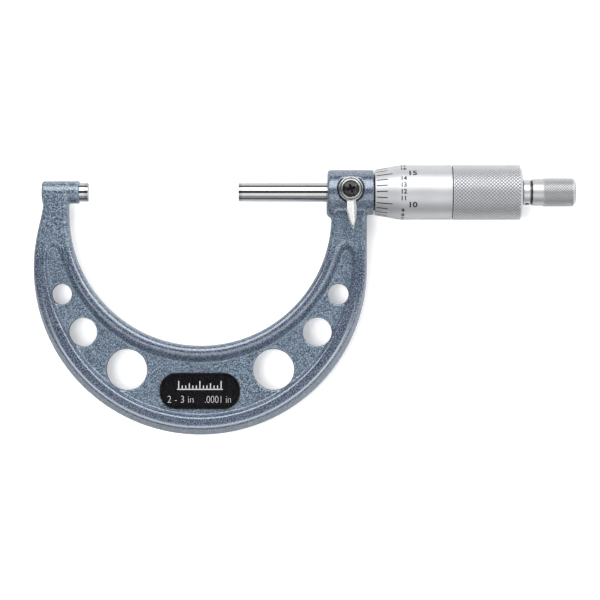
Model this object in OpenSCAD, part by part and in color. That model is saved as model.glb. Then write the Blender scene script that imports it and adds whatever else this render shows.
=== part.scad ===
// Outside micrometer, 2 to 3 inch, with ratchet stop and lever clamp. Millimetres.
// The origin is the centre of the anvil's measuring face. +X runs along the spindle away
// from the anvil, +Y points out of the frame's mouth, +Z is the front of the frame.

/* [Reading] */
// Gap between the measuring faces
gap = 51.105; // [50.8:0.005:51.4]

/* [Frame] */
// Radius of the frame's inner arc
inner_r = 44.74; // [44.2:0.01:45]
// Radius of the frame's outer arc
outer_r = 56.9; // [56.4:0.1:57.4]
// Thickness of the rims at the bottom of the frame
rim_t = 10.5; // [9.6:0.1:10.8]
// Thickness of the arm beside the anvil
tip_t = 7.4; // [7:0.1:7.6]
// Thickness of the web
web_t = 5.4; // [4.5:0.1:6]
// Width of the name plate
plate_w = 27.3; // [24:0.1:28]
// Height of the name plate
plate_h = 12.4; // [11:0.1:12.6]
// Thickness of the name plate
plate_t = 0.7; // [0.4:0.05:1]

/* [Measuring faces] */
// Diameter of the anvil and the spindle
stem_d = 6.35; // [6.3:0.01:6.4]
// How far the anvil stands out of its boss
anvil_out = 3.07; // [2.5:0.01:3.5]
// Length of the hard-metal tips
tip_len = 1.2; // [0.8:0.1:1.5]
// Diameter of the anvil's boss
anvil_boss_d = 7.65; // [7.6:0.05:8]

/* [Sleeves and screw] */
// Diameter of the spindle's boss
boss_d = 15.3; // [15.1:0.05:15.4]
// Outer diameter of the graduated sleeve
sleeve_d = 13.7; // [13.5:0.05:13.9]
// Major diameter of the measuring screw
screw_d = 7.4; // [7.2:0.05:7.5]
// Running clearance on the radius of the guide bore
guide_gap = 0.015; // [0.01:0.005:0.04]
// Running clearance on the radius of the screw
screw_gap = 0.05; // [0.03:0.01:0.08]

/* [Thimble] */
// Diameter of the thimble's body
thimble_d = 18.7; // [18.4:0.05:18.9]
// Diameter of the thimble's front edge
thimble_front_d = 15.5; // [15.4:0.05:15.8]

/* [Ratchet stop] */
// Diameter of the knurled knob
knob_d = 9.65; // [9.5:0.05:10]
// Diameter of the knob's plain collar
collar_d = 9.05; // [8.9:0.05:9.2]
// Number of ratchet teeth
tooth_count = 12; // [12]

/* [Clamp] */
// Diameter of the lever's hub
hub_d = 8.5; // [8.2:0.1:8.8]
// Length of the lever from the hub's centre to its point
lever_len = 13.6; // [12:0.1:14]
// Lean of the lever toward the thimble, in degrees
lever_lean = 3; // [0:1:6]

/* [Hidden] */
$fn = 96;
arc_fn = 240;
eps = 0.01;

// frame: both arcs are centred on one line across the mouth
arc_x = 38.1;
inner_y = -7.6;
outer_y = -25.7;
rim_h = rim_t / 2;
tip_h = tip_t / 2;
web_h = web_t / 2;
shoulder = 3.1;
arm_right_x = arc_x + outer_r;
arm_top_y = -1.6;
left_bend_y = -8;
left_lean = 5.4;
boss_x0 = 81.4;
boss_x1 = 97.15;
anvil_boss_x0 = -15.8;
recess_out_y = -24.5;
recess_out_r = 52.6;
recess_in_r = inner_r + 5.2;
recess_top_y = -19.7;
recess_end_r = 2.1;
recess_end_off = 50.35;
// lightening holes: distance from the middle line, height and radius
hole_list = [[47.1, -34.7, 3.5], [39.9, -47.6, 4.9], [25, -60.4, 7]];
plate_y = -67.6;
plate_r = 5.7;

// stems and screw
stem_r = stem_d / 2;
anvil_shank_r = 2.4;
anvil_shank_x = -13;
spindle_x0 = gap + tip_len;
guide_x0 = 81.9;
guide_x1 = 92;
screw_x0 = 92.9;
screw_x1 = 130.3;
screw_r = screw_d / 2;
nut_x0 = 118;
nut_x1 = 130;
press_r = 4.4;
step_x = 94;
barrel_r = 5.2;
relief_r = 4;
sleeve_r = sleeve_d / 2;
sleeve_x1 = 125.3;
adjust_x0 = 125.6;
adjust_x1 = 129.6;
adjust_r = 6.5;
adjust_bore_r = 5;

// thimble
thimble_r = thimble_d / 2;
front_r = thimble_front_d / 2;
front_x = 97.6;
cone_x = 105.85;
knurl_x = 123.9;
thimble_x1 = 148.1;
wall_x = 142.9;
thimble_bore_r = 7.05;
thimble_hollow_r = 8;
seat_x1 = 147.3;
seat_r0 = 3.95;
seat_r1 = 3.45;
seat_gap = 0.02;
tail_r = 3.3;

// ratchet
base_x1 = 150.55;
base_r = 4.3;
base_hole_x = 149.3;
base_hole_r = 0.78;
base_hole_turn = 70;
base_thread_r = 1.9;
base_thread_x = 139.5;
stub_r = 3.2;
stub_x1 = 153;
tooth_h = 0.3;
tooth_w = 1;
tooth_in_r = 2.4;
tooth_out_r = 3.1;
knob_x0 = 151.2;
collar_x1 = 154.95;
knob_x1 = 166;
knob_chamfer = 1.4;
knob_bore_r = 3.3;
knob_wall_x0 = 160;
knob_wall_x1 = 162.15;
key_w = 1.2;
key_r = 3.7;
pawl_x0 = stub_x1 + 0.4;
pawl_x1 = 156.2;
pawl_turn = 24;
shoulder_r = 1.7;
ratchet_thread_r = 1.3;
head_r = 2.9;
head_x1 = 164.4;
spring_coil_r = 2.45;
spring_wire_r = 0.25;
spring_turns = 4;
spring_sides = 8;
spring_steps = 14;

// clamp
clamp_x = 89.3;
clamp_y = 0.9;
seat_z = 5.8;
seat_r = 4.65;
stud_r = 1.9;
stud_z0 = 4.75;
stud_z1 = 8.3;
stud_tip_r = 1.6;
stud_tip_z = 4;
pad_r = 1.65;
pad_gap = 0.11;
hub_r = hub_d / 2;
hub_z0 = 6.4;
hub_z1 = 8.8;
lever_z0 = 7.9;
lever_z1 = 9.5;
clamp_head_r = 2.7;
clamp_head_z1 = 9.9;
clamp_shank_r = 0.9;
washer_z0 = seat_z;
washer_z1 = 6.2;

// A solid turned about the X axis, from points of [radius, x]
module turned(points) {
    rotate([0, 90, 0])
        rotate_extrude()
            polygon(points);
}

// A round bar along X from x0 to x1
module bar(r, x0, x1) {
    translate([x0, 0, 0])
        rotate([0, 90, 0])
            cylinder(r = r, h = x1 - x0);
}

// A solid with its outline in the XZ plane, running along Y from y0 to y1
module along_y(y0, y1) {
    translate([0, y1, 0])
        rotate([90, 0, 0])
            linear_extrude(height = y1 - y0)
                children();
}

// A solid with its outline in the YZ plane, running along X from x0 to x1
module along_x(x0, x1) {
    translate([x0, 0, 0])
        rotate([90, 0, 90])
            linear_extrude(height = x1 - x0)
                children();
}

// Half of the rim's cross-section: drafted side at x = 0, material toward +X
module rim_section(depth) {
    polygon([
        [0, -0.15 * rim_h], [0.6, -0.45 * rim_h], [shoulder, -rim_h], [depth, -rim_h],
        [depth, rim_h], [shoulder, rim_h], [0.6, 0.45 * rim_h], [0, 0.15 * rim_h]
    ]);
}

// The disc and the two arms that the frame is cut from
module frame_blank() {
    translate([arc_x, outer_y, 0])
        rotate_extrude($fn = arc_fn)
            intersection() {
                translate([outer_r, 0])
                    mirror([1, 0])
                        rim_section(outer_r);
                translate([0, -rim_t])
                    square([outer_r + 1, 2 * rim_t]);
            }
    along_y(outer_y, -3)
        translate([arm_right_x, 0])
            mirror([1, 0])
                rim_section(40);
    translate([-16, left_bend_y, 0])
        rotate([0, 0, -left_lean])
            along_y(-4, left_bend_y * -0.7)
                rim_section(12);
}

// Thickness over the height: full at the bottom, thinner up the anvil's arm
module frame_thickness() {
    along_x(-25, arc_x)
        polygon([
            [-90, -rim_h], [-52, -rim_h], [left_bend_y, -tip_h], [arm_top_y, -tip_h],
            [arm_top_y, tip_h], [left_bend_y, tip_h], [-52, rim_h], [-90, rim_h]
        ]);
    along_x(arc_x - eps, boss_x1)
        polygon([[-90, -rim_h], [-3, -rim_h], [-3, rim_h], [-90, rim_h]]);
}

// The mouth of the frame, with its edges rounded off
module frame_mouth() {
    translate([arc_x, inner_y, 0])
        rotate_extrude($fn = arc_fn)
            polygon([
                [0, -rim_t], [inner_r + 1.2, -rim_t], [inner_r + 1.2, -rim_h], [inner_r, -rim_h + 1.4],
                [inner_r, rim_h - 1.4], [inner_r + 1.2, rim_h], [inner_r + 1.2, rim_t], [0, rim_t]
            ]);
    translate([arc_x - inner_r, inner_y, -rim_t])
        cube([2 * inner_r, 20, 2 * rim_t]);
}

// Outline of the pocket between the rims
module recess_outline() {
    difference() {
        intersection() {
            translate([arc_x, recess_out_y])
                circle(r = recess_out_r, $fn = arc_fn);
            translate([arc_x - 60, -90])
                square([120, 90 + recess_top_y]);
        }
        translate([arc_x, inner_y])
            circle(r = recess_in_r, $fn = arc_fn);
    }
    for (side = [-1, 1])
        translate([arc_x + side * recess_end_off, recess_top_y])
            circle(r = recess_end_r);
}

module lightening_holes() {
    for (side = [-1, 1], h = hole_list)
        translate([arc_x + side * h[0], h[1], -rim_t])
            cylinder(r = h[2], h = 2 * rim_t);
}

// Seat, thread and spindle bores of the two bosses
module frame_bores() {
    bar(anvil_shank_r, anvil_shank_x, 0);
    bar(press_r, guide_x0, boss_x1);
    bar(stem_r + 0.3, boss_x0 - 1, boss_x1);
    bar(barrel_r, step_x, boss_x1 + 1);
    translate([clamp_x, clamp_y, seat_z])
        cylinder(r = seat_r, h = 10);
    translate([clamp_x, clamp_y, 0])
        cylinder(r = stud_r + screw_gap, h = 10);
}

module frame() {
    color("#75838f")
        difference() {
            union() {
                intersection() {
                    difference() {
                        frame_blank();
                        frame_mouth();
                    }
                    frame_thickness();
                }
                turned([
                    [0, anvil_boss_x0], [anvil_boss_d / 2 - 0.5, anvil_boss_x0],
                    [anvil_boss_d / 2, anvil_boss_x0 + 0.5], [anvil_boss_d / 2, -anvil_out - 0.2],
                    [anvil_boss_d / 2 - 0.2, -anvil_out], [0, -anvil_out]
                ]);
                turned([
                    [0, boss_x0], [boss_d / 2 - 0.8, boss_x0], [boss_d / 2, boss_x0 + 0.8],
                    [boss_d / 2, boss_x1 - 0.3], [boss_d / 2 - 0.3, boss_x1], [0, boss_x1]
                ]);
            }
            for (side = [0, 1])
                mirror([0, 0, side])
                    translate([0, 0, web_h])
                        linear_extrude(height = rim_h)
                            recess_outline();
            lightening_holes();
            frame_bores();
        }
}

module anvil() {
    color("#c9ccd0")
        turned([
            [0, anvil_shank_x + 0.2], [anvil_shank_r - 0.3, anvil_shank_x + 0.2],
            [anvil_shank_r, anvil_shank_x + 0.7], [anvil_shank_r, -anvil_out],
            [stem_r, -anvil_out], [stem_r, -tip_len], [0, -tip_len]
        ]);
}

module anvil_tip() {
    color("#8f9296")
        turned([
            [0, -tip_len], [stem_r, -tip_len], [stem_r, -0.1], [stem_r - 0.1, 0], [0, 0]
        ]);
}

module name_plate() {
    color("#101113")
        translate([arc_x, plate_y, web_h])
            linear_extrude(height = plate_t)
                union() {
                    square([plate_w - 2 * plate_r, plate_h], center = true);
                    square([plate_w, plate_h - 2 * plate_r], center = true);
                    for (sx = [-1, 1], sy = [-1, 1])
                        translate([sx * (plate_w / 2 - plate_r), sy * (plate_h / 2 - plate_r)])
                            circle(r = plate_r);
                }
}

// Guide bore, relief and split nut of the measuring screw, in one turned piece
module inner_sleeve() {
    nut_r = screw_r + screw_gap;
    guide_r = stem_r + guide_gap;
    color("#b9bcc0")
        difference() {
            turned([
                [guide_r, guide_x0], [press_r, guide_x0], [press_r, step_x], [barrel_r, step_x],
                [barrel_r, adjust_x0 - 0.2], [adjust_bore_r, adjust_x0 - 0.2], [adjust_bore_r, nut_x1],
                [nut_r, nut_x1], [nut_r, nut_x0], [relief_r, nut_x0 - 0.5], [relief_r, guide_x1],
                [guide_r, guide_x1]
            ]);
            translate([clamp_x, clamp_y, 0])
                cylinder(r = pad_r + 0.06, h = 10);
            for (turn = [60, 180, 300])
                rotate([turn, 0, 0])
                    translate([nut_x0 + 1.5, -0.3, 0])
                        cube([nut_x1, 0.6, barrel_r + 1]);
        }
}

module adjusting_nut() {
    color("#9a9da2")
        difference() {
            turned([
                [adjust_bore_r, adjust_x0], [adjust_r - 0.3, adjust_x0], [adjust_r, adjust_x0 + 0.3],
                [adjust_r, adjust_x1 - 0.3], [adjust_r - 0.3, adjust_x1], [adjust_bore_r, adjust_x1]
            ]);
            for (turn = [0, 180])
                rotate([turn, 0, 0])
                    translate([adjust_x1 - 1.4, -0.5, adjust_r - 1])
                        cube([3, 1, 3]);
        }
}

// Graduated barrel, with the hole for the key that sets the zero
module outer_sleeve() {
    color("#cfd1d4")
        difference() {
            turned([
                [barrel_r, boss_x1], [sleeve_r, boss_x1], [sleeve_r, sleeve_x1 - 0.4],
                [sleeve_r - 0.4, sleeve_x1], [barrel_r, sleeve_x1]
            ]);
            translate([boss_x1 + 3, 0, -sleeve_r - 1])
                cylinder(r = 0.65, h = 1.9);
        }
}

module spindle() {
    color("#c9ccd0")
        difference() {
            turned([
                [0, spindle_x0], [stem_r, spindle_x0], [stem_r, guide_x1 - 0.2], [2.9, guide_x1],
                [2.9, screw_x0 - 0.2], [screw_r, screw_x0 + 0.4], [screw_r, screw_x1 - 0.4],
                [tail_r, screw_x1], [tail_r, wall_x - 0.6], [seat_r0 - seat_gap, wall_x - 0.4],
                [seat_r0 - seat_gap, wall_x], [seat_r1 - seat_gap, seat_x1], [0, seat_x1]
            ]);
            bar(base_thread_r + seat_gap, base_thread_x, seat_x1 + 1);
        }
}

module spindle_tip() {
    color("#8f9296")
        turned([
            [0, gap], [stem_r - 0.1, gap], [stem_r, gap + 0.1], [stem_r, spindle_x0],
            [0, spindle_x0]
        ]);
}

module thimble() {
    color("#d5d7da")
        turned([
            [thimble_bore_r, front_x], [front_r, front_x], [thimble_r - 0.12, cone_x - 0.4],
            [thimble_r - 0.05, cone_x + 0.4], [thimble_r - 0.05, knurl_x - 0.3],
            [thimble_r - 0.35, knurl_x - 0.15], [thimble_r, knurl_x + 0.35],
            [thimble_r, thimble_x1 - 1.1], [thimble_r - 1, thimble_x1], [seat_r1 + 0.2, thimble_x1],
            [seat_r1, seat_x1], [seat_r0, wall_x], [thimble_hollow_r, wall_x],
            [thimble_hollow_r, cone_x + 2], [thimble_bore_r, cone_x + 0.6]
        ]);
}

// One sawtooth of the face ratchet, standing on x = 0 along the radius
module ratchet_tooth(width) {
    translate([0, 0, tooth_in_r])
        linear_extrude(height = tooth_out_r - tooth_in_r)
            polygon([[-eps, -width / 2], [-eps, width / 2], [0, width / 2], [tooth_h, width / 2],
                [0, -width / 2]]);
}

// Collar that screws into the spindle, holds the thimble on its taper and carries the teeth
module ratchet_base() {
    color("#c4c6c9")
        difference() {
            union() {
                turned([
                    [0, base_thread_x + 0.3], [base_thread_r, base_thread_x + 0.6],
                    [base_thread_r, thimble_x1], [base_r - 0.2, thimble_x1], [base_r, thimble_x1 + 0.2],
                    [base_r, base_x1 - 0.3], [base_r - 0.3, base_x1], [stub_r, base_x1],
                    [stub_r, stub_x1], [0, stub_x1]
                ]);
                for (i = [0:tooth_count - 1])
                    rotate([i * 360 / tooth_count, 0, 0])
                        translate([stub_x1, 0, 0])
                            ratchet_tooth(tooth_w);
            }
            bar(ratchet_thread_r, thimble_x1, stub_x1 + 1);
            rotate([base_hole_turn, 0, 0])
                translate([base_hole_x, 0, 2.4])
                    cylinder(r = base_hole_r, h = 4);
        }
}

// Keyed ring that clicks over the teeth
module ratchet_pawl() {
    color("#8d9095")
        union() {
            difference() {
                union() {
                    bar(stub_r, pawl_x0, pawl_x1);
                    for (side = [-1, 1])
                        translate([pawl_x0, side > 0 ? 2 : -key_r + 0.05, -key_w / 2 + 0.05])
                            cube([pawl_x1 - pawl_x0, key_r - 2.05, key_w - 0.1]);
                }
                bar(shoulder_r + 0.08, pawl_x0 - 1, pawl_x1 + 1);
            }
            for (i = [0:tooth_count - 1])
                rotate([pawl_turn + i * 360 / tooth_count, 0, 0])
                    translate([pawl_x0, 0, 0])
                        mirror([1, 0, 0])
                            mirror([0, 1, 0])
                                scale([0.9, 0.9, 1])
                                    ratchet_tooth(tooth_w);
        }
}

// Compression spring, swept as one closed coil
function spring_point(step, side) =
    let (
        turn = 360 * step / spring_steps,
        span = knob_wall_x0 - pawl_x1 - 2 * spring_wire_r - 0.1,
        along = pawl_x1 + spring_wire_r + 0.05 + span * step / (spring_turns * spring_steps),
        around = 360 * side / spring_sides,
        r = spring_coil_r + spring_wire_r * cos(around)
    )
    [along + spring_wire_r * sin(around), r * cos(turn), r * sin(turn)];

module ratchet_spring() {
    last = spring_turns * spring_steps;
    points = [for (step = [0:last], side = [0:spring_sides - 1]) spring_point(step, side)];
    walls = [
        for (step = [0:last - 1], side = [0:spring_sides - 1])
            let (a = step * spring_sides, next = (side + 1) % spring_sides)
            [a + side, a + side + spring_sides, a + next + spring_sides, a + next]
    ];
    start = [for (side = [0:spring_sides - 1]) side];
    finish = [for (side = [spring_sides - 1:-1:0]) last * spring_sides + side];
    color("#7c7f84")
        polyhedron(points = points, faces = concat(walls, [start], [finish]));
}

module ratchet_knob() {
    color("#c4c6c9")
        difference() {
            turned([
                [knob_bore_r, knob_x0], [collar_d / 2 - 0.2, knob_x0], [collar_d / 2, knob_x0 + 0.2],
                [collar_d / 2, collar_x1], [knob_d / 2 - 0.1, collar_x1],
                [knob_d / 2, collar_x1 + 0.1], [knob_d / 2, knob_x1 - knob_chamfer],
                [knob_d / 2 - 0.9, knob_x1], [head_r + 0.2, knob_x1],
                [head_r + 0.2, knob_wall_x1], [shoulder_r + 0.05, knob_wall_x1],
                [shoulder_r + 0.05, knob_wall_x0], [knob_bore_r, knob_wall_x0]
            ]);
            for (side = [-1, 1])
                translate([knob_x0 - 1, side > 0 ? 2.5 : -key_r, -key_w / 2])
                    cube([knob_wall_x0 - knob_x0 + 1, key_r - 2.5, key_w]);
        }
}

// Shoulder screw that keeps the knob on
module ratchet_screw() {
    color("#5b5e63")
        difference() {
            turned([
                [0, base_x1 - 1], [ratchet_thread_r - 0.02, base_x1 - 1],
                [ratchet_thread_r - 0.02, stub_x1], [shoulder_r, stub_x1],
                [shoulder_r, knob_wall_x1 + 0.05], [head_r, knob_wall_x1 + 0.05],
                [head_r, head_x1 - 0.3], [head_r - 0.3, head_x1], [0, head_x1]
            ]);
            translate([head_x1 - 1, -0.35, -4])
                cube([3, 0.7, 8]);
        }
}

// Everything of the clamp stands on the axis of its stud
module at_clamp() {
    translate([clamp_x, clamp_y, 0])
        children();
}

module clamp_lever() {
    color("#d9dbdd")
        at_clamp()
            difference() {
                union() {
                    translate([0, 0, hub_z0])
                        cylinder(r = hub_r, h = hub_z1 - hub_z0 - 0.4);
                    translate([0, 0, hub_z1 - 0.4])
                        cylinder(r1 = hub_r, r2 = hub_r - 0.5, h = 0.4);
                    rotate([0, 0, lever_lean])
                        translate([0, 0, lever_z0])
                            linear_extrude(height = lever_z1 - lever_z0)
                                polygon([
                                    [-1.6, -2.9], [-2.05, -6.2], [-0.35, -lever_len],
                                    [0.35, -lever_len], [2.05, -6.2], [1.6, -2.9]
                                ]);
                }
                translate([0, 0, hub_z0 - 1])
                    cylinder(r = stud_r, h = 5);
                translate([0, 0, stud_z1])
                    cylinder(r = clamp_head_r + 0.1, h = 3);
            }
}

module clamp_stud() {
    color("#9a9da2")
        at_clamp()
            difference() {
                union() {
                    translate([0, 0, stud_tip_z])
                        cylinder(r = stud_tip_r, h = stud_z0 - stud_tip_z);
                    translate([0, 0, stud_z0])
                        cylinder(r = stud_r, h = stud_z1 - stud_z0);
                }
                translate([0, 0, stud_z0 + 0.6])
                    cylinder(r = clamp_shank_r, h = 10);
            }
}

module clamp_screw() {
    color("#17181a")
        at_clamp()
            difference() {
                union() {
                    translate([0, 0, stud_z0 + 1])
                        cylinder(r = clamp_shank_r, h = stud_z1 - stud_z0);
                    translate([0, 0, stud_z1])
                        cylinder(r = clamp_head_r, h = clamp_head_z1 - stud_z1 - 0.5);
                    translate([0, 0, clamp_head_z1 - 0.5])
                        cylinder(r1 = clamp_head_r, r2 = clamp_head_r - 0.9, h = 0.5);
                }
                for (turn = [0, 90])
                    rotate([0, 0, turn])
                        translate([-1.3, -0.3, clamp_head_z1 - 0.8])
                            cube([2.6, 0.6, 2]);
            }
}

// Brass pad with a hollow that fits the spindle
module clamp_pad() {
    color("#b9974b")
        difference() {
            at_clamp()
                translate([0, 0, 1.9])
                    cylinder(r = pad_r, h = stud_tip_z - 1.92);
            bar(stem_r + pad_gap, clamp_x - 5, clamp_x + 5);
        }
}

module clamp_washer() {
    color("#6f7277")
        at_clamp()
            translate([0, 0, washer_z0])
                difference() {
                    cylinder(r = hub_r - 0.4, h = washer_z1 - washer_z0);
                    translate([0, 0, -1])
                        cylinder(r = stud_r + 0.2, h = 3);
                    translate([0, -0.2, -1])
                        cube([6, 0.4, 3]);
                }
}

frame();
anvil();
anvil_tip();
name_plate();
inner_sleeve();
adjusting_nut();
outer_sleeve();
spindle();
spindle_tip();
thimble();
ratchet_base();
ratchet_pawl();
ratchet_spring();
ratchet_knob();
ratchet_screw();
clamp_lever();
clamp_stud();
clamp_screw();
clamp_pad();
clamp_washer();
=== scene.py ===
"""Visual model of a 2 to 3 inch outside micrometer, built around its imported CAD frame.

Lengths inside the shape code are millimetres in the CAD frame; make_mesh turns them into metres.
+X runs along the spindle, +Y out of the frame's mouth, +Z out of the frame's front face.
"""
import math

import bmesh
import bpy
import numpy as np
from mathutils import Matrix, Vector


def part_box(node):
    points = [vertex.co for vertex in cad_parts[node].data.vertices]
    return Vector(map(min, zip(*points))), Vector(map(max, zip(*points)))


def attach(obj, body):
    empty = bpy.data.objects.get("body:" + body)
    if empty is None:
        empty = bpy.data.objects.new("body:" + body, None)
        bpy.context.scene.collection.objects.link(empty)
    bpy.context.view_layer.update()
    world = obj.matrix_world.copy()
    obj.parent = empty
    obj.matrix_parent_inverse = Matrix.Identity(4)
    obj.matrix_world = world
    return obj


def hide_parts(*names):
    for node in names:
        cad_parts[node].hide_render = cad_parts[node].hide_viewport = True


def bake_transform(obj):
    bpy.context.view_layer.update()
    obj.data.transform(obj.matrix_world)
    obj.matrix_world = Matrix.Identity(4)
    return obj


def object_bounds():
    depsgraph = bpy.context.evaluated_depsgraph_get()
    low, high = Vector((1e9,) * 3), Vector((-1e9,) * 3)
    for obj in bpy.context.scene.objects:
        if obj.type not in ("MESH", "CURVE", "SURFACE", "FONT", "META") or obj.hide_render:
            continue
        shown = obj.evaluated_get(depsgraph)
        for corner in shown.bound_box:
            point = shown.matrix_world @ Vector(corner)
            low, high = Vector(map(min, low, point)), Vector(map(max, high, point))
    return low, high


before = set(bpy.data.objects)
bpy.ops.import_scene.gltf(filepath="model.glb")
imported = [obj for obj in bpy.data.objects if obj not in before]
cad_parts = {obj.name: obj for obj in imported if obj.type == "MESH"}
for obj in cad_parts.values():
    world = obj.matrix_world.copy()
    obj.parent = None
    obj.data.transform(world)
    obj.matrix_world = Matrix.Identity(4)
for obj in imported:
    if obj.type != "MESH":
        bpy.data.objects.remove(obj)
cad_low, cad_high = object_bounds()

MM = 0.001


def span(node, axis=0):
    """Lowest and highest coordinate of a CAD node along one axis, in millimetres."""
    low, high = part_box(node)
    return low[axis] / MM, high[axis] / MM


# ------------------------ sizes taken from the frame
FRAME_X0, BOSS_X1 = span("frame", 0)
FRAME_Y0 = span("frame", 1)[0]
BOSS_R = span("frame", 2)[1]
GAP = span("spindle_tip")[0]
STEM_R = span("anvil_tip", 2)[1]
THIMBLE_X0, THIMBLE_X1 = span("thimble")
THIMBLE_R = span("thimble", 2)[1]
SLEEVE_R = span("outer_sleeve", 2)[1]
SLEEVE_X1 = span("outer_sleeve")[1]
BASE_R = span("ratchet_base", 2)[1]
KNOB_X0, KNOB_X1 = span("ratchet_knob")
KNOB_R = span("ratchet_knob", 2)[1]
PLATE_X, PLATE_Y, PLATE_Z = (span("name_plate", axis) for axis in range(3))
PLATE_MIDDLE = (sum(PLATE_X) / 2, sum(PLATE_Y) / 2)
CLAMP_X, CLAMP_Y = (sum(span("clamp_stud", axis)) / 2 for axis in (0, 1))
SEAT_Z = span("clamp_washer", 2)[0]
HUB_Z = span("clamp_lever", 2)[0]
SCREW_TOP = span("clamp_screw", 2)[1]
FLOOR_Z = float(cad_low[2])

INCH = 25.4
SCREW_PITCH = INCH / 40


# ------------------------ mesh helpers
def make_mesh(name, points, faces, sharp_deg=35):
    """A smooth-shaded mesh object from millimetre points, with its sharp edges marked."""
    mesh = bpy.data.meshes.new(name)
    mesh.from_pydata((np.asarray(points, dtype=float) * MM).tolist(), [], [list(f) for f in faces])
    mesh.validate()
    obj = bpy.data.objects.new(name, mesh)
    bpy.context.scene.collection.objects.link(obj)
    work = bmesh.new()
    work.from_mesh(mesh)
    bmesh.ops.recalc_face_normals(work, faces=work.faces)
    for face in work.faces:
        face.smooth = True
    if sharp_deg is not None:
        limit = math.radians(sharp_deg)
        for edge in work.edges:
            edge.smooth = len(edge.link_faces) != 2 or edge.calc_face_angle(0) < limit
    work.to_mesh(mesh)
    work.free()
    return obj


def place(obj, body, material, slot, *nodes):
    """Gives a piece its material and its body, and hides the CAD nodes that it stands for. The slot
    is not used.
    """
    obj.data.materials.clear()
    obj.data.materials.append(material)
    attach(obj, body)
    if nodes:
        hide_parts(*nodes)


def rounded(points, steps=4):
    """A profile of (x, radius, fillet) corners with each corner turned into a small arc."""
    out = []
    count = len(points)
    for i, (x, r, fillet) in enumerate(points):
        here = np.array((x, r), dtype=float)
        before = np.array(points[i - 1][:2], dtype=float) - here
        after = np.array(points[(i + 1) % count][:2], dtype=float) - here
        reach = min(fillet, 0.45 * np.linalg.norm(before), 0.45 * np.linalg.norm(after))
        if fillet <= 0:
            out.append((x, r))
            continue
        start = here + before / np.linalg.norm(before) * reach
        end = here + after / np.linalg.norm(after) * reach
        for step in range(steps + 1):
            t = step / steps
            out.append(tuple((1 - t) ** 2 * start + 2 * t * (1 - t) * here + t * t * end))
    return out


def lathe_grid(profile, segments, radius=None):
    """Rows of points of a profile of (x, r) turned about the X axis.

    radius(x, r, turn) may change the radius round the turn; turn is an array in turns.
    """
    turn = np.arange(segments) / segments
    points = []
    for x, r in profile:
        rr = np.full(segments, float(r)) if radius is None else radius(x, r, turn)
        angle = turn * 2 * math.pi
        points.append(np.stack([np.full(segments, x), rr * np.sin(angle), rr * np.cos(angle)], 1))
    return np.array(points)


def turned(name, profile, segments=128, radius=None, sharp_deg=35):
    """A turned solid. The profile is a closed loop, or an open one that ends on the axis."""
    grid = lathe_grid(profile, segments, radius)
    rows = len(profile)
    closed = profile[0][1] > 1e-6
    points = grid.reshape(-1, 3)
    faces = []
    last = rows if closed else rows - 1
    for i in range(last):
        a, b = i * segments, ((i + 1) % rows) * segments
        on_axis_a, on_axis_b = profile[i][1] <= 1e-6, profile[(i + 1) % rows][1] <= 1e-6
        for j in range(segments):
            k = (j + 1) % segments
            if on_axis_a:
                faces.append((a, b + j, b + k))
            elif on_axis_b:
                faces.append((a + j, b, a + k))
            else:
                quad = (a + j, b + j, b + k, a + k)
                faces.extend(split_quad(points, quad) if radius is not None else [quad])
    return make_mesh(name, *drop_loose(points, faces), sharp_deg=sharp_deg)


def split_quad(points, quad):
    """Two triangles that fold the quad along the diagonal whose ends are level."""
    r = [math.hypot(points[v][1], points[v][2]) for v in quad]
    if max(r) - min(r) < 1e-6:
        return [quad]
    a, b, c, d = quad
    if abs(r[0] - r[2]) <= abs(r[1] - r[3]):
        return [(a, b, c), (a, c, d)]
    return [(a, b, d), (b, c, d)]


def drop_loose(points, faces):
    """Leaves out the points that no face uses."""
    used = sorted({v for f in faces for v in f})
    new = {v: i for i, v in enumerate(used)}
    return np.asarray(points)[used], [tuple(new[v] for v in f) for f in faces]


def lofted_faces(rows, count):
    """Quads between rows of count points round a loop, with a cap on both ends."""
    faces = []
    for i in range(rows - 1):
        for j in range(count):
            k = (j + 1) % count
            faces.append((i * count + j, i * count + k, (i + 1) * count + k, (i + 1) * count + j))
    faces.append(tuple(range(count)))
    faces.append(tuple((rows - 1) * count + j for j in range(count)))
    return faces


# ------------------------ distance fields
def rise(value, start, end):
    """0 up to start, 1 from end on, and straight between them."""
    return np.clip((value - start) / (end - start), 0, 1)


def smax(a, b, k):
    """Larger of two distances, with the corner between them rounded over k millimetres."""
    h = np.clip(0.5 + 0.5 * (a - b) / k, 0, 1)
    return b + (a - b) * h + k * h * (1 - h)


def smin(a, b, k):
    """Smaller of two distances, with a fillet over k millimetres."""
    return -smax(-a, -b, k)


def round_max(a, b, r):
    """Larger of two distances, with a true radius on a square corner between them."""
    a, b = a + r, b + r
    return np.minimum(np.maximum(a, b), 0) + np.hypot(np.maximum(a, 0), np.maximum(b, 0)) - r


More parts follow.
